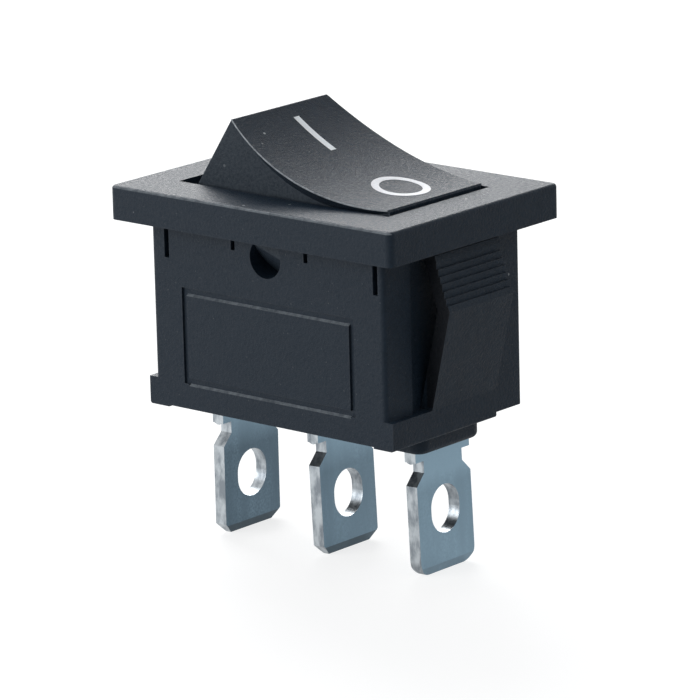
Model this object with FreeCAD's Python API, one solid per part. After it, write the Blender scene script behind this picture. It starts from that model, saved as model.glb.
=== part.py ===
import FreeCAD, Part
import math
import os

# Panel rocker switch with one pole, two positions and three solder tabs.
# It snaps into a panel from the front, held by the bezel and two sprung wings.
# Origin: centre of the panel plane, on the underside of the bezel. All sizes are millimetres.
# Z points out of the panel, X along the long side towards the off end of the rocker,
# and the face with the label frame looks to minus Y. The rocker is drawn with its off end pressed.

# Bezel
bezel_length = 21.0
bezel_width = 15.0
bezel_thickness = 2.0
bezel_corner_radius = 0.4
bezel_edge_radius = 0.2

# Body below the panel
bezel_overhang_end = 1.8
bezel_overhang_side = 1.44
body_height = 10.95
body_corner_radius = 0.3
side_wall = 1.58
end_wall = 0.55
floor_thickness = 1.75
opening_relief = 0.12
opening_step_depth = 0.6

# Posts, snap wings and their recesses at both ends
post_width = 2.3
recess_depth = 0.42
wing_side_gap = 0.91
wing_shift = 0.25
wing_thickness = 0.85
wing_reach = 1.87
wing_top_reach = 0.86
wing_knee_depth = 3.5
wing_top_gap = 0.4
wing_root_depth = 0.7
wing_tooth_count = 6
wing_tooth_depth = 0.12
wing_tooth_start = 0.35
relief_depth = 0.3
relief_rim = 0.2

# Foot under the wings and pad that carries the tabs
foot_height = 1.55
foot_proud = 0.47
foot_far_setback = 2.95
foot_drop = 0.1
foot_edge_radius = 0.15
pad_length = 16.8
pad_width = 5.6
pad_height = 1.25
pad_corner_radius = 0.8
pad_edge_radius = 0.35

# Slots and label frame on the long faces
corner_slot_inset = 0.89
corner_slot_width = 0.35
corner_slot_length = 2.15
spring_slot_spacing = 5.45
spring_slot_width = 0.3
spring_slot_length = 1.02
slot_shift = 0.3
face_slot_depth = 0.4
slot_head = 0.1
label_length = 12.9
label_top_depth = 3.75
label_height = 5.7
label_groove_width = 0.35
label_groove_depth = 0.15
label_lip_height = 0.12

# Rocker pivot
pivot_depth = 1.2
pivot_hole_radius = 1.15
trunnion_clearance = 0.06
trunnion_recess = 0.12
trunnion_chamfer_height = 1.5
trunnion_chamfer_depth = 1.35
rocker_tilt = 18.5

# Rocker shell, in its own frame with the pivot at zero
rocker_side_gap = 0.45
rocker_end_gap = 0.18
rocker_height = 5.65
rocker_dish = 1.06
rocker_draft = 15.0
rocker_skirt_height = 0.2
rocker_belly = 0.88
rocker_belly_rise = 0.84
rocker_corner_flare = 0.2
rocker_rim_chamfer = 0.1
rocker_top_wall = 1.1
rocker_side_wall = 0.85
rocker_end_wall = 0.9
ear_margin = 1.0
stem_wall = 0.85
stem_length = 1.7
bore_depth_below_top = 2.1
rib_thickness = 0.8

# Plunger and spring in the rocker's stem
plunger_radius = 1.24
plunger_clearance = 0.06
plunger_cup_wall = 0.4
plunger_cup_lift = 0.08
plunger_overlap = 2.4
spring_clearance = 0.06
spring_wire_radius = 0.14
spring_wire_sides = 8
spring_turns = 6

# Contacts
contact_tilt = 9.0
contact_bend = 12.0
contact_thickness = 0.4
contact_width = 4.2
contact_arm = 6.3
contact_waist = 3.2
contact_notch_length = 1.5
contact_point = 5.2
contact_gap = 0.05
contact_pad_radius = 1.05
contact_pad_height = 0.45
contact_shank_radius = 0.55
contact_shank_gap = 0.02
fixed_pad_height = 0.55
fulcrum_gap = 0.04
plunger_gap = 0.08

# Solder tabs
tab_thickness = 0.8
tab_width = 4.8
tab_length = 8.6
tab_end_gap = 0.05
tab_slot_gap = 0.02
tab_corner = 0.6
tab_corner_round = 0.9
tab_bevel = 0.2
tab_bevel_length = 0.5
tab_hole_width = 2.5
tab_hole_height = 2.85
tab_hole_centre = 5.3
tab_off_hole_raise = 0.3
tab_shoulder = 0.6
tab_notch_height = 1.4
tab_notch_depth = 0.7
tab_lean = 2.5
tab_root_gap = 0.3
arm_overlap = 0.3
arm_bend_radius = 0.35
cradle_ear_width = 0.6
cradle_ear_height = 1.5
cradle_side_gap = 0.1
cradle_foot = 0.45
cradle_foot_height = 0.6

# Working values: how far a cut reaches past what it trims, and how near counts as the same
cut_margin = 1.0
same_place = 1e-6
on_surface = 1e-4

# Places worked out from the sizes above
body_length = bezel_length - 2 * bezel_overhang_end
body_width = bezel_width - 2 * bezel_overhang_side
recess_back = body_length / 2 - recess_depth
cavity_length = 2 * (recess_back - end_wall)
cavity_width = body_width - 2 * side_wall
opening_length = cavity_length + 2 * opening_relief
recess_width = body_width - 2 * post_width
wing_width = recess_width - 2 * wing_side_gap
foot_top = foot_height - body_height
floor_top = floor_thickness - body_height
pad_bottom = -body_height - pad_height
pivot_z = -pivot_depth
trunnion_radius = pivot_hole_radius - trunnion_clearance
tab_x = cavity_length / 2 - tab_end_gap - tab_thickness / 2
tab_bottom = -body_height - tab_length
arm_top = floor_top + tab_thickness
bend = math.radians(contact_bend)
swing = math.radians(contact_tilt)
fulcrum_radius = tab_thickness / 2
bend_underside = fulcrum_radius + fulcrum_gap
bend_top = bend_underside + contact_thickness / math.cos(bend)
pad_reach = contact_thickness + contact_pad_height


def vector(x, y, z):
    return FreeCAD.Vector(x, y, z)


def block(x_low, x_high, y_low, y_high, z_low, z_high):
    size = (x_high - x_low, y_high - y_low, z_high - z_low)
    return Part.makeBox(size[0], size[1], size[2], vector(x_low, y_low, z_low))


def centred_block(length, width, z_low, z_high):
    return block(-length / 2, length / 2, -width / 2, width / 2, z_low, z_high)


def upright_edges(shape):
    return [edge for edge in shape.Edges if edge.BoundBox.ZLength > same_place
            and edge.BoundBox.XLength < same_place and edge.BoundBox.YLength < same_place]


def edges_at_height(shape, height):
    return [edge for edge in shape.Edges if abs(edge.BoundBox.ZMin - height) < same_place
            and abs(edge.BoundBox.ZMax - height) < same_place]


def rounded_block(length, width, z_low, z_high, corner_radius):
    solid = centred_block(length, width, z_low, z_high)
    return solid.makeFillet(corner_radius, upright_edges(solid))


def side_profile(points, width):
    """Extrude a closed outline of (x, z) points by width, centred on Y."""
    corners = [vector(x, -width / 2, z) for x, z in points]
    face = Part.Face(Part.makePolygon(corners + corners[:1]))
    return face.extrude(vector(0, width, 0))


def at_both_ends(shape):
    other = shape.mirror(vector(0, 0, 0), vector(1, 0, 0))
    return [shape, other]


def on_both_sides(shape):
    other = shape.mirror(vector(0, 0, 0), vector(0, 1, 0))
    return [shape, other]


def turned(shape, centre, degrees):
    """Turn a copy of shape about a line along Y through centre."""
    result = shape.copy()
    result.rotate(centre, vector(0, 1, 0), degrees)
    return result


# Where the closed contact's pad lies, and from it the seesaw's fulcrum and the plunger
def closed_pad_centre():
    """Middle of the closed moving pad's face, as x and z from the fulcrum."""
    x = contact_point * math.cos(bend) + pad_reach * math.sin(bend)
    z = bend_top + contact_point * math.sin(bend) - pad_reach * math.cos(bend)
    return x * math.cos(swing) + z * math.sin(swing), z * math.cos(swing) - x * math.sin(swing)


closed_x, closed_z = closed_pad_centre()
pad_rim_drop = contact_pad_radius * math.sin(bend - swing)
fulcrum_z = arm_top + fixed_pad_height + contact_gap + pad_rim_drop - closed_z
bend_top_z = fulcrum_z + bend_top
tip_centre = bend_top_z + (plunger_radius + plunger_gap) / math.cos(bend) - pivot_z
stem_bottom = tip_centre + stem_length
plunger_top = stem_bottom + plunger_overlap
bore_radius = plunger_radius + plunger_clearance
bore_top = rocker_height - rocker_dish - bore_depth_below_top
cup_radius = plunger_radius - plunger_cup_wall
cup_floor = tip_centre + plunger_cup_lift


# Housing
def face_slot(x, width, length):
    outer = -body_width / 2
    return block(x - width / 2, x + width / 2, outer - face_slot_depth, outer + face_slot_depth,
                 -length, slot_head)


def make_face_slots():
    corner_x = body_length / 2 - corner_slot_inset
    slots = []
    for x in (slot_shift - corner_x, slot_shift + corner_x):
        slots.append(face_slot(x, corner_slot_width, corner_slot_length))
    for x in (slot_shift - spring_slot_spacing / 2, slot_shift + spring_slot_spacing / 2):
        slots.append(face_slot(x, spring_slot_width, spring_slot_length))
    far_slots = [slot.mirror(vector(0, 0, 0), vector(0, 1, 0)) for slot in slots]
    return slots + far_slots


def make_label_groove():
    front = -body_width / 2
    half = label_length / 2
    low = -label_top_depth - label_height
    outer = block(-half, half, front - cut_margin, front + label_groove_depth, low, -label_top_depth)
    inner = block(-half + label_groove_width, half - label_groove_width,
                  front - 2 * cut_margin, front + cut_margin,
                  low + label_groove_width, -label_top_depth - label_groove_width)
    lips = [label_lip(-label_top_depth - label_groove_width), label_lip(low)]
    return outer.cut(inner).fuse(lips)


def label_lip(top_z):
    """Wedge that slopes the lower side of one long groove, so that it faces up."""
    front = -body_width / 2
    half = label_length / 2 - label_groove_width
    outline = [(front - cut_margin, top_z), (front + label_groove_depth, top_z),
               (front, top_z - label_lip_height), (front - cut_margin, top_z - label_lip_height)]
    points = [vector(-half, y, z) for y, z in outline]
    return Part.Face(Part.makePolygon(points + points[:1])).extrude(vector(2 * half, 0, 0))


def wing_outline():
    """Outer face from the root up over the knee and the toothed slope, then back down inside."""
    knee_x = body_length / 2 + wing_reach
    top_x = body_length / 2 + wing_top_reach
    foot_x = body_length / 2 + foot_proud
    knee_z = -wing_knee_depth
    top_z = -wing_top_gap
    points = [(foot_x, foot_top - wing_root_depth), (foot_x, foot_top), (knee_x, knee_z)]
    slope = math.hypot(knee_x - top_x, top_z - knee_z)
    along = ((top_x - knee_x) / slope, (top_z - knee_z) / slope)
    pitch = (slope - 2 * wing_tooth_start) / wing_tooth_count
    for tooth in range(wing_tooth_count):
        base = wing_tooth_start + tooth * pitch
        foot = (knee_x + along[0] * base, knee_z + along[1] * base)
        crest = base + pitch
        points.append(foot)
        points.append((foot[0] - along[1] * wing_tooth_depth, foot[1] + along[0] * wing_tooth_depth))
        points.append((knee_x + along[0] * crest, knee_z + along[1] * crest))
    points.append((top_x, top_z))
    points.append((top_x - wing_thickness, top_z))
    points.append((knee_x - wing_thickness, knee_z))
    points.append((foot_x - wing_thickness, foot_top))
    points.append((foot_x - wing_thickness, foot_top - wing_root_depth))
    return points


def make_foot():
    inner_x = cavity_length / 2
    outer_x = body_length / 2 + foot_proud
    near_y = -body_width / 2
    far_y = body_width / 2 - foot_far_setback
    bottom = -body_height - foot_drop
    foot = block(inner_x, outer_x, near_y, far_y, bottom, foot_top)
    rounded = [edge for edge in edges_at_height(foot, bottom)
               if abs(edge.BoundBox.XMin - outer_x) < same_place]
    return foot.makeFillet(foot_edge_radius, rounded)


def make_pad():
    pad = rounded_block(pad_length, pad_width, pad_bottom, -body_height, pad_corner_radius)
    return pad.makeFillet(pad_edge_radius, edges_at_height(pad, pad_bottom))


def make_end_recess():
    outer_x = body_length / 2 + cut_margin
    return block(recess_back, outer_x, -recess_width / 2, recess_width / 2, foot_top, 0)


def make_wing_relief():
    rim_x = bezel_length / 2 - relief_rim
    return block(recess_back, rim_x, -recess_width / 2, recess_width / 2, -relief_depth, relief_depth)


def tab_passage(x):
    half_x = tab_thickness / 2 + tab_slot_gap
    half_y = tab_width / 2 + tab_slot_gap
    return block(x - half_x, x + half_x, -half_y, half_y, pad_bottom - cut_margin, floor_top + cut_margin)


def make_housing():
    bezel = rounded_block(bezel_length, bezel_width, 0, bezel_thickness, bezel_corner_radius)
    bezel = bezel.makeFillet(bezel_edge_radius, edges_at_height(bezel, bezel_thickness))
    body = rounded_block(body_length, body_width, -body_height, 0, body_corner_radius)
    body = body.cut(at_both_ends(make_end_recess()))
    housing = bezel.fuse([body, make_pad()] + at_both_ends(make_foot()))
    housing = housing.cut(at_both_ends(make_wing_relief()))
    wing = side_profile(wing_outline(), wing_width)
    wing.translate(vector(0, wing_shift, 0))
    housing = housing.fuse(at_both_ends(wing))
    cut_top = bezel_thickness + cut_margin
    cavity = centred_block(cavity_length, cavity_width, floor_top, cut_top)
    opening = centred_block(opening_length, cavity_width, -opening_step_depth, cut_top)
    hole_reach = body_width / 2 + cut_margin
    pivot_hole = Part.makeCylinder(pivot_hole_radius, 2 * hole_reach,
                                   vector(0, -hole_reach, pivot_z), vector(0, 1, 0))
    passages = [tab_passage(x) for x in (-tab_x, 0, tab_x)]
    cuts = [cavity, opening, pivot_hole, make_label_groove()] + passages + make_face_slots()
    return housing.cut(cuts).removeSplitter()


# Rocker, built level about its pivot and then tilted into place
def arc_radius(half_chord, rise):
    """Radius of the arc that rises by this much over its chord."""
    return (half_chord ** 2 + rise ** 2) / (2 * rise)


def dish_height(x, offset=0.0):
    """Height of the dished top at x, or of a surface that lies offset below it."""
    radius = arc_radius(rocker_half_top, rocker_dish)
    centre = rocker_height - rocker_dish + radius
    return centre - math.sqrt((radius + offset) ** 2 - x * x)


def skirt_half(z):
    """Half length of the rocker at height z, on its drafted end faces."""
    return rocker_half_skirt - math.tan(math.radians(rocker_draft)) * (z - rocker_skirt_height)


rocker_half_skirt = cavity_length / 2 - rocker_end_gap
rocker_half_top = skirt_half(rocker_height)
rocker_width = cavity_width - 2 * rocker_side_gap
ear_radius = trunnion_radius + ear_margin


def shell_outline(end_offset, top_offset, width):
    """Side view of the rocker, or of its hollow, extruded along Y."""
    slant = end_offset / math.cos(math.radians(rocker_draft))
    top_x = rocker_half_top - slant
    top_x -= math.tan(math.radians(rocker_draft)) * (dish_height(top_x) - rocker_height - top_offset)
    low_x = rocker_half_skirt - slant
    y = -width / 2
    corner = vector(top_x, y, dish_height(top_x, top_offset))
    middle = vector(0, y, dish_height(0, top_offset))
    skirt = vector(low_x, y, rocker_skirt_height)
    ear = vector(ear_radius, y, 0)
    ear_low = vector(0, y, -ear_radius)
    mirrored = [vector(-p.x, p.y, p.z) for p in (corner, skirt, ear)]
    edges = [
        Part.Arc(mirrored[0], middle, corner).toShape(),
        Part.makeLine(corner, skirt),
        Part.makeLine(skirt, ear),
        Part.Arc(ear, ear_low, mirrored[2]).toShape(),
        Part.makeLine(mirrored[2], mirrored[1]),
        Part.makeLine(mirrored[1], mirrored[0]),
    ]
    return Part.Face(Part.Wire(edges)).extrude(vector(0, width, 0))


def make_belly():
    """Lens that bows out of one long side towards the top edge, fullest at mid length.

    Its outer face is part of a large cylinder that leans outwards with height.
    """
    start_z = rocker_height - rocker_dish - rocker_belly_rise
    lean = rocker_belly / rocker_belly_rise
    lengthening = math.hypot(1, lean)
    drop_at_corner = rocker_belly + lean * rocker_dish - rocker_corner_flare
    radius = arc_radius(rocker_half_top, drop_at_corner / lengthening)
    axis_y = rocker_width / 2 - radius * lengthening - lean * start_z
    length = radius * lean + lengthening * (rocker_height + cut_margin)
    leaning = Part.makeCylinder(radius, length)
    leaning.rotate(vector(0, 0, 0), vector(1, 0, 0), -math.degrees(math.atan(lean)))
    leaning.translate(vector(0, axis_y, 0))
    limit = block(-rocker_half_skirt, rocker_half_skirt, rocker_width / 2 - rocker_side_wall,
                  rocker_width / 2 + rocker_belly + cut_margin, start_z, rocker_height + cut_margin)
    return leaning.common(limit)


def make_trunnion():
    inner = rocker_width / 2 - rocker_side_wall
    outer = body_width / 2 - trunnion_recess
    pin = Part.makeCylinder(trunnion_radius, outer - inner, vector(0, inner, 0), vector(0, 1, 0))
    corner = [(outer, trunnion_chamfer_height - trunnion_radius),
              (outer - trunnion_chamfer_depth, -trunnion_radius),
              (outer + cut_margin, -trunnion_radius - cut_margin)]
    reach = trunnion_radius + cut_margin
    points = [vector(-reach, y, z) for y, z in corner]
    wedge = Part.Face(Part.makePolygon(points + points[:1]))
    return pin.cut(wedge.extrude(vector(2 * reach, 0, 0)))


def top_rim_edges(shell):
    """Edges that bound the dished top, found as those that lie on its surface."""
    found = []
    for edge in shell.Edges:
        ends = [edge.valueAt(edge.FirstParameter), edge.valueAt(edge.LastParameter)]
        ends.append(edge.valueAt((edge.FirstParameter + edge.LastParameter) / 2))
        if all(abs(point.z - dish_height(point.x)) < on_surface for point in ends):
            found.append(edge)
    return found


def make_rocker():
    full_width = rocker_width + 2 * (rocker_belly + cut_margin)
    below = -ear_radius - cut_margin
    straight = centred_block(2 * rocker_half_skirt, rocker_width, below, rocker_height + cut_margin)
    envelope = straight.fuse(on_both_sides(make_belly()))
    shell = shell_outline(0, 0, full_width).common(envelope).removeSplitter()
    shell = shell.makeChamfer(rocker_rim_chamfer, top_rim_edges(shell))
    hollow_width = rocker_width - 2 * rocker_side_wall
    hollow = shell_outline(rocker_end_wall, rocker_top_wall, hollow_width)
    floor_cut = centred_block(2 * rocker_half_skirt, hollow_width, below, rocker_skirt_height)
    shell = shell.cut([hollow, floor_cut])
    stem_radius = bore_radius + stem_wall
    stem_top = rocker_height - rocker_dish - rocker_top_wall / 2
    stem = Part.makeCylinder(stem_radius, stem_top - stem_bottom, vector(0, 0, stem_bottom))
    rib = block(-rib_thickness / 2, rib_thickness / 2, -hollow_width / 2, hollow_width / 2,
                -trunnion_radius, stem_top)
    bore = Part.makeCylinder(bore_radius, bore_top - stem_bottom, vector(0, 0, stem_bottom))
    rocker = shell.fuse([stem, rib] + on_both_sides(make_trunnion()))
    return rocker.cut(bore).removeSplitter()


def make_plunger():
    body = Part.makeCylinder(plunger_radius, plunger_top - tip_centre, vector(0, 0, tip_centre))
    tip = Part.makeSphere(plunger_radius, vector(0, 0, tip_centre))
    cup = Part.makeCylinder(cup_radius, plunger_top - cup_floor, vector(0, 0, cup_floor))
    return body.fuse(tip).cut(cup).removeSplitter()


def make_plunger_spring():
    coil_radius = cup_radius - spring_clearance - spring_wire_radius
    low = cup_floor + spring_wire_radius
    height = bore_top - spring_wire_radius - low
    helix = Part.makeHelix(height / spring_turns, height, coil_radius)
    helix.translate(vector(0, 0, low))
    section = []
    for side in range(spring_wire_sides):
        angle = 2 * math.pi * side / spring_wire_sides
        section.append(vector(coil_radius + spring_wire_radius * math.cos(angle), 0,
                              low + spring_wire_radius * math.sin(angle)))
    pipe = Part.BRepOffsetAPI.MakePipeShell(Part.Wire(helix.Edges))
    pipe.setFrenetMode(True)
    pipe.add(Part.makePolygon(section + section[:1]))
    pipe.build()
    pipe.makeSolid()
    return pipe.shape()


def place_in_rocker(shape):
    """Move a shape from the rocker's own frame to where it rests with the off end pressed."""
    placed = turned(shape, vector(0, 0, 0), rocker_tilt)
    placed.translate(vector(0, 0, pivot_z))
    return placed


# Seesaw contact, built level about the fulcrum and then tilted
def make_moving_contact():
    reach = contact_arm * math.cos(bend)
    rise = contact_arm * math.sin(bend)
    under_x = reach + contact_thickness * math.sin(bend)
    under_z = bend_top + rise - contact_thickness * math.cos(bend)
    outline = [(0, bend_underside), (under_x, under_z), (reach, bend_top + rise), (0, bend_top),
               (-reach, bend_top + rise), (-under_x, under_z)]
    strip = side_profile(outline, contact_width)
    notch = block(-contact_notch_length / 2, contact_notch_length / 2, contact_waist / 2,
                  contact_width / 2 + cut_margin, 0, bend_top + cut_margin)
    hole_depth = contact_thickness + 2 * cut_margin
    shank_hole = on_arm(Part.makeCylinder(contact_shank_radius + contact_shank_gap, hole_depth,
                                          vector(0, 0, -cut_margin)))
    return strip.cut(on_both_sides(notch) + at_both_ends(shank_hole)).removeSplitter()


def on_arm(shape):
    """Place a shape drawn about zero so that zero lies on the right arm's underside at the contact."""
    placed = turned(shape, vector(0, 0, 0), -contact_bend)
    x = contact_point * math.cos(bend) + contact_thickness * math.sin(bend)
    z = bend_top + contact_point * math.sin(bend) - contact_thickness * math.cos(bend)
    placed.translate(vector(x, 0, z))
    return placed


def contact_pad(head_low, head_high, shank_low, shank_high):
    head = Part.makeCylinder(contact_pad_radius, head_high - head_low, vector(0, 0, head_low))
    shank = Part.makeCylinder(contact_shank_radius, shank_high - shank_low, vector(0, 0, shank_low))
    return head.fuse(shank).removeSplitter()


def make_moving_pad():
    return on_arm(contact_pad(-contact_pad_height, 0, 0, contact_thickness))


def place_on_fulcrum(shape):
    placed = turned(shape, vector(0, 0, 0), -contact_tilt)
    placed.translate(vector(0, 0, fulcrum_z))
    return placed


def make_fixed_pad(x):
    pad = contact_pad(arm_top, arm_top + fixed_pad_height, floor_top, arm_top)
    pad.translate(vector(x, 0, 0))
    return pad


# Solder tabs
def tab_outline(rounded):
    """Flat shape of the tab below the floor as a face in the YZ plane."""
    half = tab_width / 2
    shoulder_low = pad_bottom - tab_shoulder
    notch_low = shoulder_low - tab_notch_height
    inner = half - tab_notch_depth
    corner = tab_corner_round if rounded else tab_corner
    right = [
        (half, floor_top), (half, shoulder_low), (inner, shoulder_low),
        (inner, notch_low + tab_notch_depth), (half, notch_low), (half, tab_bottom + corner),
        (half - corner, tab_bottom),
    ]
    left = [(-y, z) for y, z in reversed(right)]
    points = [vector(0, y, z) for y, z in right + left]
    edges = []
    for start, end in zip(points, points[1:] + points[:1]):
        sloping = abs(start.y - end.y) > same_place and abs(start.z - end.z) > same_place
        if rounded and sloping and min(start.z, end.z) < tab_bottom + same_place:
            side = math.copysign(1, start.y + end.y)
            cut_back = corner * (1 - math.sqrt(0.5))
            middle = vector(0, side * (half - cut_back), tab_bottom + cut_back)
            edges.append(Part.Arc(start, middle, end).toShape())
        else:
            edges.append(Part.makeLine(start, end))
    return Part.Face(Part.Wire(edges))


def make_tab_hole(raised):
    """Upright oval hole with round ends, higher by this much than on the other tabs."""
    round_radius = tab_hole_width / 2
    half_straight = (tab_hole_height - tab_hole_width) / 2
    half_x = tab_thickness
    centre_z = raised - body_height - tab_hole_centre
    low_z = centre_z - half_straight
    high_z = centre_z + half_straight
    middle = block(-half_x, half_x, -round_radius, round_radius, low_z, high_z)
    ends = [Part.makeCylinder(round_radius, 2 * half_x, vector(-half_x, 0, z), vector(1, 0, 0))
            for z in (low_z, high_z)]
    return middle.fuse(ends).removeSplitter()


def make_tip_bevel():
    """Wedge that thins one face of the tab towards its tip."""
    face_x = tab_thickness / 2
    outside_x = face_x + cut_margin
    points = [(face_x, tab_bottom + tab_bevel_length), (face_x - tab_bevel, tab_bottom),
              (outside_x, tab_bottom - cut_margin), (outside_x, tab_bottom + tab_bevel_length)]
    return side_profile(points, tab_width + 2 * cut_margin)


def make_tab(rounded, lean, hole_raised=0.0):
    """Tab centred on X, with the part outside the pad turned by its lean."""
    blade = tab_outline(rounded).extrude(vector(tab_thickness, 0, 0))
    blade.translate(vector(-tab_thickness / 2, 0, 0))
    blade = blade.cut([make_tab_hole(hole_raised)] + at_both_ends(make_tip_bevel()))
    bend_z = pad_bottom - tab_root_gap
    around = (tab_thickness + 2 * cut_margin, tab_width + 2 * cut_margin)
    upper = blade.common(centred_block(*around, bend_z, floor_top))
    lower = blade.common(centred_block(*around, tab_bottom - cut_margin, bend_z))
    lower = turned(lower, vector(0, 0, bend_z), -lean)
    heel = Part.makeCylinder(tab_thickness / 2, tab_width, vector(0, -tab_width / 2, bend_z),
                             vector(0, 1, 0))
    return upper.fuse([lower, heel]).removeSplitter()


def make_outer_tab(side, rounded, lean, hole_raised=0.0):
    """Outer tab with its upper end bent inwards over the floor, for side -1 or 1."""
    tab = make_tab(rounded, lean, hole_raised)
    tab.translate(vector(side * tab_x, 0, 0))
    outer = tab_x + tab_thickness / 2
    inner = closed_x - contact_pad_radius - arm_overlap
    half = tab_width / 2
    arm = block(inner, outer, -half, half, floor_top, arm_top)
    top_edge = [edge for edge in edges_at_height(arm, arm_top)
                if abs(edge.BoundBox.XMin - outer) < same_place]
    arm = arm.makeFillet(arm_bend_radius, top_edge)
    hole = Part.makeCylinder(contact_shank_radius + contact_shank_gap, tab_thickness,
                             vector(closed_x, 0, floor_top))
    arm = arm.cut(hole)
    if side < 0:
        arm = arm.mirror(vector(0, 0, 0), vector(1, 0, 0))
    return tab.fuse(arm).removeSplitter()


def make_centre_tab():
    tab = make_tab(False, tab_lean)
    half_x = tab_thickness / 2
    knife_half = contact_waist / 2 - cradle_side_gap
    neck_half = contact_waist / 2 + cradle_side_gap
    ear_half = neck_half + cradle_ear_width
    plate = block(-half_x, half_x, -ear_half, ear_half, floor_top, fulcrum_z)
    knife = Part.makeCylinder(fulcrum_radius, 2 * knife_half, vector(0, -knife_half, fulcrum_z),
                              vector(0, 1, 0))
    ear = block(-half_x, half_x, neck_half, ear_half, fulcrum_z, fulcrum_z + cradle_ear_height)
    foot_half = tab_width / 2 + cradle_foot
    foot = block(-half_x, half_x, -foot_half, foot_half, floor_top, floor_top + cradle_foot_height)
    return tab.fuse([plate, knife, foot] + on_both_sides(ear)).removeSplitter()


def export(node, shape):
    solids = shape.Solids
    if len(solids) != 1 or not shape.isValid():
        raise ValueError(node + " is not one valid solid")
    solids[0].exportStep("parts/" + node + ".step")
    box = solids[0].BoundBox
    print(node, round(solids[0].Volume, 2), "X", round(box.XMin, 2), round(box.XMax, 2),
          "Y", round(box.YMin, 2), round(box.YMax, 2), "Z", round(box.ZMin, 2), round(box.ZMax, 2))


def main():
    os.makedirs("parts", exist_ok=True)
    export("housing", make_housing())
    export("rocker", place_in_rocker(make_rocker()))
    export("plunger", place_in_rocker(make_plunger()))
    export("plunger_spring", place_in_rocker(make_plunger_spring()))
    export("moving_contact", place_on_fulcrum(make_moving_contact()))
    moving_pads = at_both_ends(make_moving_pad())
    export("moving_contact_pad_off", place_on_fulcrum(moving_pads[0]))
    export("moving_contact_pad_on", place_on_fulcrum(moving_pads[1]))
    export("tab_common", make_centre_tab())
    export("tab_off", make_outer_tab(1, True, tab_lean, tab_off_hole_raise))
    export("tab_on", make_outer_tab(-1, False, 0))
    export("fixed_contact_pad_off", make_fixed_pad(closed_x))
    export("fixed_contact_pad_on", make_fixed_pad(-closed_x))


main()
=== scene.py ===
import bpy
import math
from mathutils import Matrix, Vector
from mathutils.bvhtree import BVHTree


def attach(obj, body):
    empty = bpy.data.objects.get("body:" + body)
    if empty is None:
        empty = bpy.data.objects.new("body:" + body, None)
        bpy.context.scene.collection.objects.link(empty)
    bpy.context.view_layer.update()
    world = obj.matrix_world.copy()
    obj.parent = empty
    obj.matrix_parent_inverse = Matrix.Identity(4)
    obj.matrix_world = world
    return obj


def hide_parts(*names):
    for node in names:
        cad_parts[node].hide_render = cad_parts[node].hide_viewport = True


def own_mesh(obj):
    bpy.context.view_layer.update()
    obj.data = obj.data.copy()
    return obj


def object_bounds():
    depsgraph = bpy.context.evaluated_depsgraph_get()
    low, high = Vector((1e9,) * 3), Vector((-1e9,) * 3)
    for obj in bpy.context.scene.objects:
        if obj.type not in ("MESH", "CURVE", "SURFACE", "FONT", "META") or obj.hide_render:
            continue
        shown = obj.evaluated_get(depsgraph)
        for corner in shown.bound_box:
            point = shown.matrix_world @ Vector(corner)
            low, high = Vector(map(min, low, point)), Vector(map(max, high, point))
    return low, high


MM = 0.001

# Camera, at the viewpoint of the photograph
CAMERA_AZIMUTH = math.radians(40.718)
CAMERA_ELEVATION = math.radians(14.706)
CAMERA_ROLL = math.radians(1.421)
CAMERA_DISTANCE = 300 * MM
CLIP_START = 10 * MM
CLIP_END = 10.0
PIXELS_PER_MM = 17.486
AIM_RIGHT = 0.715 * MM
AIM_UP = -7.569 * MM
PICTURE_SIZE = 700
SENSOR_WIDTH = 36.0

# Rocker: the point it turns about and its tilt at rest
PIVOT = Vector((0, 0, -1.2 * MM))
REST_TILT = math.radians(18.5)

# Signs on the rocker's top, placed in a frame where the rocker is level and its pivot is zero
SIGN_PROUD = 0.012 * MM
SIGN_SUNK = 0.03 * MM
ABOVE_ROCKER = 20 * MM
BAR_CENTRE = -3.5 * MM
BAR_SHIFT = 0.5 * MM
BAR_LENGTH = 3.15 * MM
BAR_WIDTH = 0.45 * MM
BAR_STEPS = 24
RING_CENTRE = 3.4 * MM
RING_SHIFT = 0.28 * MM
RING_OUTER = 1.68 * MM
RING_INNER = 1.23 * MM
RING_STEPS = 72

# The ranges below go to spread(): low and high, and what they turn into unless that is 0 and 1
NOISE_RANGE = (0.3, 0.7)

# Moulded plastic: grain, painted light on the faces turned along ±Y, worn edges that also carry a
# painted highlight, and painted highlights on the slanted rims
CLOUD_SCALE = 1400
CLOUD_TONE = (0.3, 0.7, 0, 0.4)
GRAIN_SCALE = 5500
GRAIN_TONE = (0.35, 0.65, 0, 0.6)
GRAIN_BUMP = 1.0
GRAIN_DEPTH = 0.055 * MM
ROUGHNESS_SWING = 0.14
LIT_SIDE_FACING = (0.6, 0.9)
LIT_SIDE_GRAIN = (0.4, 0.6, 0.5, 1)
WEAR_AND_HIGHLIGHT_SCALE = 2400
EDGE_WEAR_AND_HIGHLIGHT = (0.35, 0.65)
EDGE_REACH = 0.15 * MM
EDGE_TURN = (0.85, 0.99, 1, 0)
EDGE_SAMPLES = 6
RIM_HIGHLIGHT_BREAKS = (0.35, 0.65, 0.4, 1)
RIM_FACING = (0.35, 0.5)
RIM_UPWARD = (0.25, 0.4)
RIM_BLEND = 0.1 * MM

# Specks of dust
SPECK_EDGE = (0.1, 0.16, 1, 0)
SPECK_BLEND = 0.01
FINE_SPECKS = 3200
FINE_SHARE = 0.12
FINE_TONE = (0.05, 0.06, 0.07)
DUST_SPECKS = 1500
DUST_TONE = (0.3, 0.32, 0.34)

# Dark shade on the flanks of the snap wings and at their root under the bezel
SHADE_TONE = (0.004, 0.004, 0.005)
SHADE_REACH = (8.75 * MM, 8.85 * MM, 0, 0.8)
FLANK_FACING = (0.7, 0.9)
FOOT_TOP = (-9.3 * MM, -9.2 * MM)
WING_ROOT = (-0.4 * MM, -0.15 * MM)
BEZEL_UNDERSIDE = (-0.03 * MM, 0, 1, 0)
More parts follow.
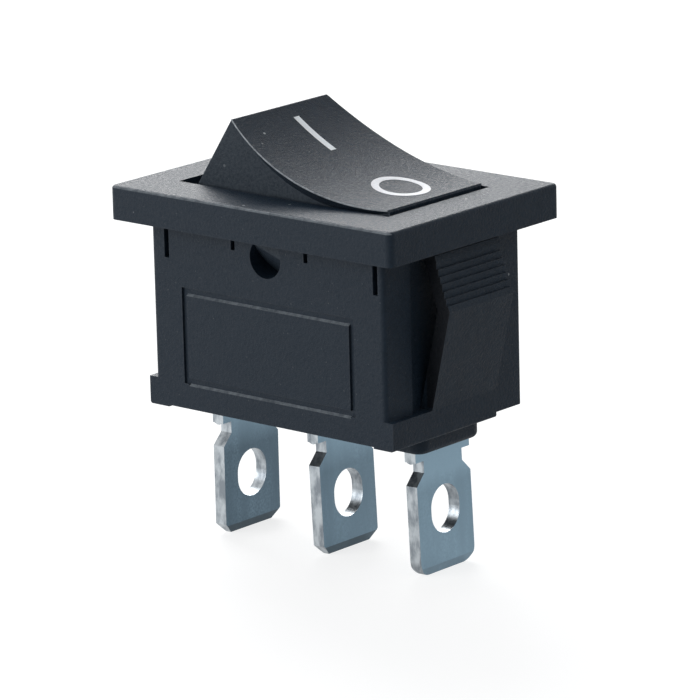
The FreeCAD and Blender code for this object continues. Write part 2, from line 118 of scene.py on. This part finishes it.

# Plated metal: streaks, painted light that grows towards +X and towards the top of the terminals,
# painted shade on the bevels, and sheared edges
STREAK_SCALE = 1200
STREAK_STRETCH = (1, 1, 0.15)
STREAK_BUMP = 0.15
STREAK_DEPTH = 0.02 * MM
PLATING_SCALE = 7000
PLATING_TONE = (0.3, 0.7, 0, 0.3)
SMOOTHER = 0.05
ROUGHER = 0.07
LIGHT_FALL_ALONG = (-7.5 * MM, 7.5 * MM, 0.04, 0.65)
LIGHT_FALL_UPWARD = (-14.6 * MM, -12.2 * MM, 0, 0.75)
BEVEL_SHADE_TONE = (0.02, 0.03, 0.035)
BEVEL_FACING = (0.1, 0.3, 0, 0.6)
BEVEL_ALONG = (3 * MM, 6 * MM, 1, 0.25)
MOTTLE_SCALE = 2200
MOTTLE_STRETCH = (1, 1, 0.4)
MOTTLE_TONE = (0.36, 0.6)
CUT_FACING = (0.3, 0.8, 1, 0)

# Printed paint of the signs
PRINT_SCALE = 8000
PRINT_BUMP = 0.2
PRINT_DEPTH = 0.01 * MM
PRINT_ROUGHNESS = 0.5

# Floor and light
FLOOR_SIZE = 4.0
FLOOR_GAP = 0.02 * MM
FLOOR_TONE = (0.33, 0.33, 0.33, 1)
FLOOR_GLOW = 0.78
FLOOR_GLOW_LEFT = 1.0
FLOOR_GLOW_RIGHT = 0.3
GLOW_REACH = 50 * MM
AMBIENT_TONE = (0.93, 0.97, 1, 1)
AMBIENT_STRENGTH = 0.45
BACKDROP_TONE = (1, 1, 1, 1)
BACKDROP_STRENGTH = 1.0
LAMPS = (  # name, place, aim, size, power
    ("key", (-0.34, 0.25, 0.3), (0, 0, 0), 0.3, 2.0),
    ("low_key", (-0.31, 0.36, 0.14), (0, 0, 0), 0.25, 0.5),
    ("fill", (-0.2, -0.42, 0.12), (0, 0, -0.01), 0.3, 1.15),
)

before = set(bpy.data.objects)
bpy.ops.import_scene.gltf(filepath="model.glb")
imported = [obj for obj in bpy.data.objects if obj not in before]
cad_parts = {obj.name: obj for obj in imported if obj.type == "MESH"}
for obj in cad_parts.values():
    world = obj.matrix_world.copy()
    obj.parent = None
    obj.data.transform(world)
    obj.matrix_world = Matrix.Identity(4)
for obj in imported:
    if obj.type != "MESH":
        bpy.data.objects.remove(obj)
cad_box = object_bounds()


# Camera
def make_camera():
    back = Vector((math.sin(CAMERA_AZIMUTH) * math.cos(CAMERA_ELEVATION),
                   -math.cos(CAMERA_AZIMUTH) * math.cos(CAMERA_ELEVATION),
                   math.sin(CAMERA_ELEVATION)))
    level_right = Vector((math.cos(CAMERA_AZIMUTH), math.sin(CAMERA_AZIMUTH), 0))
    level_up = back.cross(level_right)
    target = level_right * AIM_RIGHT + level_up * AIM_UP
    turn_cos = math.cos(CAMERA_ROLL)
    turn_sin = math.sin(CAMERA_ROLL)
    right = level_right * turn_cos - level_up * turn_sin
    up = level_right * turn_sin + level_up * turn_cos
    camera = bpy.data.objects.new("camera", bpy.data.cameras.new("camera"))
    bpy.context.scene.collection.objects.link(camera)
    camera.matrix_world = Matrix.Translation(target + back * CAMERA_DISTANCE) @ Matrix(
        (right, up, back)).transposed().to_4x4()
    focal_pixels = PIXELS_PER_MM * CAMERA_DISTANCE / MM
    camera.data.sensor_width = SENSOR_WIDTH
    camera.data.lens = focal_pixels / PICTURE_SIZE * SENSOR_WIDTH
    camera.data.clip_start = CLIP_START
    camera.data.clip_end = CLIP_END
    bpy.context.scene.camera = camera


# Node helpers
def new_material(name):
    material = bpy.data.materials.new(name)
    material.use_nodes = True
    tree = material.node_tree
    shader = tree.nodes["Principled BSDF"]
    return material, tree, shader


def add(tree, kind, **settings):
    made = tree.nodes.new(kind)
    for name, value in settings.items():
        setattr(made, name, value)
    return made


def place_on_object(tree):
    return add(tree, "ShaderNodeTexCoord").outputs["Object"]


def direction_on_object(tree):
    return add(tree, "ShaderNodeTexCoord").outputs["Normal"]


def parts_of(tree, vector):
    split = add(tree, "ShaderNodeSeparateXYZ")
    tree.links.new(vector, split.inputs["Vector"])
    return split.outputs


def noise(tree, place, scale, detail=2.0, roughness=0.5, stretch=None):
    if stretch is not None:
        mapping = add(tree, "ShaderNodeMapping")
        mapping.inputs["Scale"].default_value = stretch
        tree.links.new(place, mapping.inputs["Vector"])
        place = mapping.outputs["Vector"]
    made = add(tree, "ShaderNodeTexNoise")
    made.inputs["Scale"].default_value = scale
    made.inputs["Detail"].default_value = detail
    made.inputs["Roughness"].default_value = roughness
    tree.links.new(place, made.inputs["Vector"])
    return made.outputs["Fac"]


def spread(tree, value, low, high, to_low=0, to_high=1):
    """The value's range from low to high stretched to the other range and held beyond it."""
    made = add(tree, "ShaderNodeMapRange", clamp=True)
    tree.links.new(value, made.inputs["Value"])
    made.inputs["From Min"].default_value = low
    made.inputs["From Max"].default_value = high
    made.inputs["To Min"].default_value = to_low
    made.inputs["To Max"].default_value = to_high
    return made.outputs["Result"]


def mix_colours(tree, share, first, second):
    """The first colour where share is 0 and the second where it is 1; links or plain colours."""
    made = add(tree, "ShaderNodeMix", data_type="RGBA")
    tree.links.new(share, made.inputs["Factor"])
    for socket, value in (("A", first), ("B", second)):
        slot = [s for s in made.inputs if s.name == socket and s.type == "RGBA"][0]
        if isinstance(value, bpy.types.NodeSocket):
            tree.links.new(value, slot)
        else:
            slot.default_value = (*value, 1)
    return [s for s in made.outputs if s.type == "RGBA"][0]


def reckon(tree, operation, *values):
    made = add(tree, "ShaderNodeMath", operation=operation)
    for slot, value in zip(made.inputs, values):
        tree.links.new(value, slot)
    return made.outputs[0]


def both_of(tree, first, second):
    return reckon(tree, "MULTIPLY", first, second)


def sum_of(tree, first, second):
    return reckon(tree, "ADD", first, second)


def size_of(tree, value):
    return reckon(tree, "ABSOLUTE", value)


def bump(tree, shader, height, strength, distance):
    made = add(tree, "ShaderNodeBump")
    made.inputs["Strength"].default_value = strength
    made.inputs["Distance"].default_value = distance
    tree.links.new(height, made.inputs["Height"])
    tree.links.new(made.outputs["Normal"], shader.inputs["Normal"])


def facing(tree, axis):
    """How squarely the surface faces along this axis of the object, from 0 to 1."""
    return size_of(tree, parts_of(tree, direction_on_object(tree))[axis])


def specks(tree, place, scale, share):
    """1 in a few small scattered dots, such as dust, and 0 elsewhere."""
    cells = add(tree, "ShaderNodeTexVoronoi")
    cells.inputs["Scale"].default_value = scale
    tree.links.new(place, cells.inputs["Vector"])
    dot = spread(tree, cells.outputs["Distance"], *SPECK_EDGE)
    chance = add(tree, "ShaderNodeSeparateColor")
    tree.links.new(cells.outputs["Color"], chance.inputs["Color"])
    chosen = spread(tree, chance.outputs[0], 1 - share, 1 - share + SPECK_BLEND)
    return both_of(tree, dot, chosen)


def near_edges(tree, reach):
    """1 along the sharp edges of the piece and 0 on its open faces."""
    rounded = add(tree, "ShaderNodeBevel", samples=EDGE_SAMPLES)
    rounded.inputs["Radius"].default_value = reach
    turn = add(tree, "ShaderNodeVectorMath", operation="DOT_PRODUCT")
    tree.links.new(rounded.outputs["Normal"], turn.inputs[0])
    tree.links.new(add(tree, "ShaderNodeNewGeometry").outputs["Normal"], turn.inputs[1])
    return spread(tree, turn.outputs["Value"], *EDGE_TURN)


# Materials
def slanted_rims(tree, sideways, height, glint_from):
    """1 on the upper slants of the long sides' rims, above the height glint_from, where the
    painted highlight goes.
    """
    upward = spread(tree, parts_of(tree, direction_on_object(tree))["Z"], *RIM_UPWARD)
    slanted = both_of(tree, spread(tree, sideways, *RIM_FACING), upward)
    high = spread(tree, height, glint_from, glint_from + RIM_BLEND)
    return both_of(tree, high, slanted)


def wing_shade(tree, sideways, along, height):
    """How dark the flanks and the roots of the snap wings are; 0 on the rest of the piece."""
    flank = both_of(tree, spread(tree, sideways, *FLANK_FACING), spread(tree, height, *FOOT_TOP))
    shaded = sum_of(tree, flank, spread(tree, height, *WING_ROOT))
    shaded = both_of(tree, shaded, spread(tree, height, *BEZEL_UNDERSIDE))
    return both_of(tree, shaded, spread(tree, size_of(tree, along), *SHADE_REACH))


def moulded_plastic(name, dark, light, edge_wear_and_highlight, painted_glint, glint_from, lit_side_tone, roughness, ior, dust):
    """Grained plastic with dust specks, painted light on the faces turned along ±Y, worn edges
    with a painted highlight, painted highlights on slanted rims and painted shade on the snap
    wings.
    """
    material, tree, shader = new_material(name)
    place = place_on_object(tree)
    along, _, height = parts_of(tree, place)
    sideways = facing(tree, "Y")
    cloud = noise(tree, place, CLOUD_SCALE, detail=4, roughness=0.6)
    grain = noise(tree, place, GRAIN_SCALE, detail=4, roughness=0.7)
    wear_and_highlight_noise = noise(tree, place, WEAR_AND_HIGHLIGHT_SCALE, detail=4, roughness=0.65)
    tone = sum_of(tree, spread(tree, cloud, *CLOUD_TONE), spread(tree, grain, *GRAIN_TONE))
    # painted light: the faces turned along ±Y are made lighter, mottled by the grain
    lit_side = both_of(tree, spread(tree, sideways, *LIT_SIDE_FACING), spread(tree, grain, *LIT_SIDE_GRAIN))
    # worn edges: partly real wear, partly a painted highlight along the edges
    edge = both_of(tree, near_edges(tree, EDGE_REACH), spread(tree, wear_and_highlight_noise, *EDGE_WEAR_AND_HIGHLIGHT))
    # painted highlight on the slanted rims and ridges, broken up by noise
    rim_highlight = both_of(tree, slanted_rims(tree, sideways, height, glint_from),
                  spread(tree, wear_and_highlight_noise, *RIM_HIGHLIGHT_BREAKS))
    colour = mix_colours(tree, tone, dark, light)
    for share, marked in ((lit_side, lit_side_tone), (edge, edge_wear_and_highlight), (rim_highlight, painted_glint),
                          (wing_shade(tree, sideways, along, height), SHADE_TONE),
                          (specks(tree, place, FINE_SPECKS, FINE_SHARE), FINE_TONE),
                          (specks(tree, place, DUST_SPECKS, dust), DUST_TONE)):
        colour = mix_colours(tree, share, colour, marked)
    tree.links.new(colour, shader.inputs["Base Color"])
    tree.links.new(spread(tree, grain, *NOISE_RANGE, roughness - ROUGHNESS_SWING,
                          roughness + ROUGHNESS_SWING), shader.inputs["Roughness"])
    shader.inputs["IOR"].default_value = ior
    bump(tree, shader, grain, GRAIN_BUMP, GRAIN_DEPTH)
    return material


def plated_metal(name, dark, light, sheared_dark, sheared_light, roughness):
    """Plated sheet with painted light that grows over the part, painted shade on its bevels, and
    brighter mottled sheared edges.
    """
    material, tree, shader = new_material(name)
    place = place_on_object(tree)
    along, _, height = parts_of(tree, place)
    streak = noise(tree, place, STREAK_SCALE, detail=4, stretch=STREAK_STRETCH)
    grain = noise(tree, place, PLATING_SCALE)
    mottle = noise(tree, place, MOTTLE_SCALE, detail=3, roughness=0.6, stretch=MOTTLE_STRETCH)
    marks = both_of(tree, spread(tree, streak, *NOISE_RANGE), spread(tree, grain, *PLATING_TONE))
    # painted light: the plating grows lighter towards +X and towards the top of the terminals
    painted_light_fall = sum_of(tree, spread(tree, along, *LIGHT_FALL_ALONG), spread(tree, height, *LIGHT_FALL_UPWARD))
    face = mix_colours(tree, sum_of(tree, painted_light_fall, marks), dark, light)
    # painted shade on the bevelled tips, weaker towards +X
    bevel_shade = both_of(tree, spread(tree, facing(tree, "Z"), *BEVEL_FACING),
                    spread(tree, along, *BEVEL_ALONG))
    face = mix_colours(tree, bevel_shade, face, BEVEL_SHADE_TONE)
    cut = mix_colours(tree, spread(tree, mottle, *MOTTLE_TONE), sheared_dark, sheared_light)
    is_cut = spread(tree, facing(tree, "X"), *CUT_FACING)
    tree.links.new(mix_colours(tree, is_cut, face, cut), shader.inputs["Base Color"])
    tree.links.new(spread(tree, grain, *NOISE_RANGE, roughness - SMOOTHER, roughness + ROUGHER),
                   shader.inputs["Roughness"])
    shader.inputs["Metallic"].default_value = 1.0
    bump(tree, shader, streak, STREAK_BUMP, STREAK_DEPTH)
    return material


def printed_white(name, dark, light):
    """White paint of one sign, slightly uneven."""
    material, tree, shader = new_material(name)
    grain = noise(tree, place_on_object(tree), PRINT_SCALE)
    colour = mix_colours(tree, spread(tree, grain, *NOISE_RANGE), dark, light)
    tree.links.new(colour, shader.inputs["Base Color"])
    shader.inputs["Roughness"].default_value = PRINT_ROUGHNESS
    bump(tree, shader, grain, PRINT_BUMP, PRINT_DEPTH)
    return material


# Signs
class RockerTop:
    """Finds points on the top of the rocker from places in the signs' level frame."""

    def __init__(self):
        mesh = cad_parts["rocker"].data
        points = [v.co.copy() for v in mesh.vertices]
        faces = [tuple(p.vertices) for p in mesh.polygons]
        self.tree = BVHTree.FromPolygons(points, faces)
        self.turn = Matrix.Rotation(REST_TILT, 3, "Y")
        self.down = self.turn @ Vector((0, 0, -1))

    def at(self, x, y, rise):
        start = PIVOT + self.turn @ Vector((x, y, ABOVE_ROCKER))
        hit = self.tree.ray_cast(start, self.down)[0]
        return hit - self.down * rise


def finish_sign(name, points, faces, material):
    mesh = bpy.data.meshes.new(name)
    mesh.from_pydata(points, [], faces)
    mesh.validate()
    mesh.update()
    piece = bpy.data.objects.new(name, mesh)
    bpy.context.scene.collection.objects.link(piece)
    mesh.materials.append(material)
    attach(piece, "rocker")


def make_bar(material):
    """The on sign: a straight bar that follows the dish, with a low copy below to close it."""
    top = RockerTop()
    columns = BAR_STEPS + 1
    row = [BAR_CENTRE + (i / BAR_STEPS - 0.5) * BAR_LENGTH for i in range(columns)]
    outline = [(x, BAR_SHIFT + side * BAR_WIDTH) for side in (-0.5, 0.5) for x in row]
    low = len(outline)
    points = [top.at(x, y, rise) for rise in (SIGN_PROUD, -SIGN_SUNK) for x, y in outline]
    faces = []
    for a in range(BAR_STEPS):
        quad = (a, a + 1, a + columns + 1, a + columns)
        faces.append(quad)
        faces.append(tuple(low + k for k in reversed(quad)))
    loop = list(range(columns)) + list(range(2 * columns - 1, columns - 1, -1))
    for a, b in zip(loop, loop[1:] + loop[:1]):
        faces.append((b, a, a + low, b + low))
    finish_sign("sign_on", points, faces, material)


def make_ring(material):
    """The off sign: a flat ring that follows the dish."""
    top = RockerTop()
    points = []
    for radius in (RING_INNER, RING_OUTER):
        for rise in (-SIGN_SUNK, SIGN_PROUD):
            for k in range(RING_STEPS):
                angle = 2 * math.pi * k / RING_STEPS
                x = RING_CENTRE + radius * math.cos(angle)
                y = RING_SHIFT + radius * math.sin(angle)
                points.append(top.at(x, y, rise))
    inner_low, inner_high, outer_low, outer_high = (RING_STEPS * i for i in range(4))
    faces = []
    for k in range(RING_STEPS):
        n = (k + 1) % RING_STEPS
        for a, b in ((inner_high, outer_high), (outer_high, outer_low),
                     (outer_low, inner_low), (inner_low, inner_high)):
            faces.append((a + k, b + k, b + n, a + n))
    finish_sign("sign_off", points, faces, material)


# Spring of the plunger, copied and carried with the rocker
def make_spring(material):
    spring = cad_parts["plunger_spring"]
    mesh = spring.data.copy()
    mesh.transform(spring.matrix_world)
    mesh.materials.clear()
    mesh.materials.append(material)
    coil = bpy.data.objects.new("spring_coil", mesh)
    bpy.context.scene.collection.objects.link(coil)
    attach(coil, "rocker")
    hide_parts("plunger_spring")
    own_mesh(coil)


# Materials of the CAD nodes
def dress(material, *names):
    for name in names:
        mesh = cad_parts[name].data
        mesh.materials.clear()
        mesh.materials.append(material)


def dress_nodes():
    dress(moulded_plastic("housing_plastic", dark=(0.005, 0.012, 0.022),
                          light=(0.017, 0.029, 0.045), edge_wear_and_highlight=(0.03, 0.038, 0.05),
                          painted_glint=(0.16, 0.18, 0.2), glint_from=-10 * MM,
                          lit_side_tone=(0.013, 0.021, 0.032), roughness=0.5, ior=1.26, dust=0.02),
          "housing")
    dress(moulded_plastic("rocker_plastic", dark=(0.004, 0.01, 0.019),
                          light=(0.016, 0.027, 0.042), edge_wear_and_highlight=(0.1, 0.12, 0.14),
                          painted_glint=(0.5, 0.53, 0.56), glint_from=0.3 * MM,
                          lit_side_tone=(0.045, 0.055, 0.067), roughness=0.5, ior=1.2, dust=0.05),
          "rocker")
    dress(moulded_plastic("plunger_plastic", dark=(0.7, 0.69, 0.64),
                          light=(0.78, 0.77, 0.72), edge_wear_and_highlight=(0.8, 0.79, 0.75),
                          painted_glint=(0.82, 0.81, 0.77), glint_from=0,
                          lit_side_tone=(0.74, 0.73, 0.68), roughness=0.35, ior=1.45, dust=0.01),
          "plunger")
    dress(plated_metal("tab_metal", dark=(0.075, 0.113, 0.145), light=(0.26, 0.38, 0.47),
                       sheared_dark=(0.2, 0.225, 0.25), sheared_light=(0.43, 0.465, 0.49),
                       roughness=0.35),
          "tab_common", "tab_off", "tab_on")
    dress(plated_metal("contact_strip", dark=(0.6, 0.4, 0.22), light=(0.7, 0.5, 0.3),
                       sheared_dark=(0.6, 0.42, 0.25), sheared_light=(0.8, 0.6, 0.4),
                       roughness=0.3),
          "moving_contact")
    dress(plated_metal("contact_silver", dark=(0.7, 0.7, 0.68), light=(0.85, 0.85, 0.84),
                       sheared_dark=(0.75, 0.75, 0.74), sheared_light=(0.9, 0.9, 0.89),
                       roughness=0.25),
          "moving_contact_pad_off", "moving_contact_pad_on",
          "fixed_contact_pad_off", "fixed_contact_pad_on")
    wire = plated_metal("spring_steel", dark=(0.4, 0.4, 0.41), light=(0.55, 0.55, 0.56),
                        sheared_dark=(0.45, 0.45, 0.46), sheared_light=(0.6, 0.6, 0.61),
                        roughness=0.3)
    dress(wire, "plunger_spring")
    make_spring(wire)


# Floor and light
def seen_by_eye(tree):
    """1 for the camera, for reflections and through glass, 0 for light that falls on things."""
    path = add(tree, "ShaderNodeLightPath").outputs
    seen = reckon(tree, "MAXIMUM", path["Is Camera Ray"], path["Is Glossy Ray"])
    return reckon(tree, "MAXIMUM", seen, path["Is Transmission Ray"])


def make_world():
    world = bpy.data.worlds.new("studio")
    bpy.context.scene.world = world
    world.use_nodes = True
    tree = world.node_tree
    tree.nodes.clear()
    ambient = add(tree, "ShaderNodeBackground")
    ambient.inputs["Color"].default_value = AMBIENT_TONE
    ambient.inputs["Strength"].default_value = AMBIENT_STRENGTH
    backdrop = add(tree, "ShaderNodeBackground")
    backdrop.inputs["Color"].default_value = BACKDROP_TONE
    backdrop.inputs["Strength"].default_value = BACKDROP_STRENGTH
    blend = add(tree, "ShaderNodeMixShader")
    output = add(tree, "ShaderNodeOutputWorld")
    tree.links.new(seen_by_eye(tree), blend.inputs["Fac"])
    tree.links.new(ambient.outputs[0], blend.inputs[1])
    tree.links.new(backdrop.outputs[0], blend.inputs[2])
    tree.links.new(blend.outputs[0], output.inputs["Surface"])


def floor_glow(tree):
    """Strength of the floor's glow: even to the camera, falling towards +X in reflections."""
    along = parts_of(tree, place_on_object(tree))["X"]
    mirrored = spread(tree, along, -GLOW_REACH, GLOW_REACH, FLOOR_GLOW_LEFT, FLOOR_GLOW_RIGHT)
    choice = add(tree, "ShaderNodeMix", data_type="FLOAT")
    glossy = add(tree, "ShaderNodeLightPath").outputs["Is Glossy Ray"]
    tree.links.new(glossy, choice.inputs["Factor"])
    choice.inputs["A"].default_value = FLOOR_GLOW
    tree.links.new(mirrored, choice.inputs["B"])
    return choice.outputs["Result"]


def make_floor(level):
    half = FLOOR_SIZE / 2
    corners = [(-half, -half, level), (half, -half, level),
               (half, half, level), (-half, half, level)]
    mesh = bpy.data.meshes.new("floor")
    mesh.from_pydata(corners, [], [(0, 1, 2, 3)])
    floor = bpy.data.objects.new("floor", mesh)
    bpy.context.scene.collection.objects.link(floor)
    material = bpy.data.materials.new("pale_floor")
    material.use_nodes = True
    tree = material.node_tree
    tree.nodes.clear()
    matt = add(tree, "ShaderNodeBsdfDiffuse")
    matt.inputs["Color"].default_value = FLOOR_TONE
    glow = add(tree, "ShaderNodeEmission")
    lit = add(tree, "ShaderNodeAddShader")
    plain = add(tree, "ShaderNodeMixShader")
    output = add(tree, "ShaderNodeOutputMaterial")
    tree.links.new(floor_glow(tree), glow.inputs["Strength"])
    tree.links.new(matt.outputs[0], lit.inputs[0])
    tree.links.new(glow.outputs[0], lit.inputs[1])
    tree.links.new(seen_by_eye(tree), plain.inputs["Fac"])
    tree.links.new(matt.outputs[0], plain.inputs[1])
    tree.links.new(lit.outputs[0], plain.inputs[2])
    tree.links.new(plain.outputs[0], output.inputs["Surface"])
    mesh.materials.append(material)


def make_lamp(name, place, aim, size, power):
    data = bpy.data.lights.new(name, "AREA")
    data.shape = "SQUARE"
    data.size = size
    data.energy = power
    lamp = bpy.data.objects.new(name, data)
    bpy.context.scene.collection.objects.link(lamp)
    lamp.location = place
    lamp.rotation_euler = (Vector(aim) - Vector(place)).to_track_quat("-Z", "Y").to_euler()


def main():
    make_camera()
    dress_nodes()
    make_bar(printed_white("bar_white", dark=(0.86, 0.89, 0.92), light=(0.94, 0.96, 0.98)))
    # the off sign has the same white print as the bar; its darker tone is painted shade
    make_ring(printed_white("ring_white_shaded", dark=(0.51, 0.52, 0.55), light=(0.6, 0.61, 0.65)))
    make_world()
    make_floor(cad_box[0].z - FLOOR_GAP)
    for lamp in LAMPS:
        make_lamp(*lamp)
    bpy.context.scene.view_settings.view_transform = "Standard"


main()
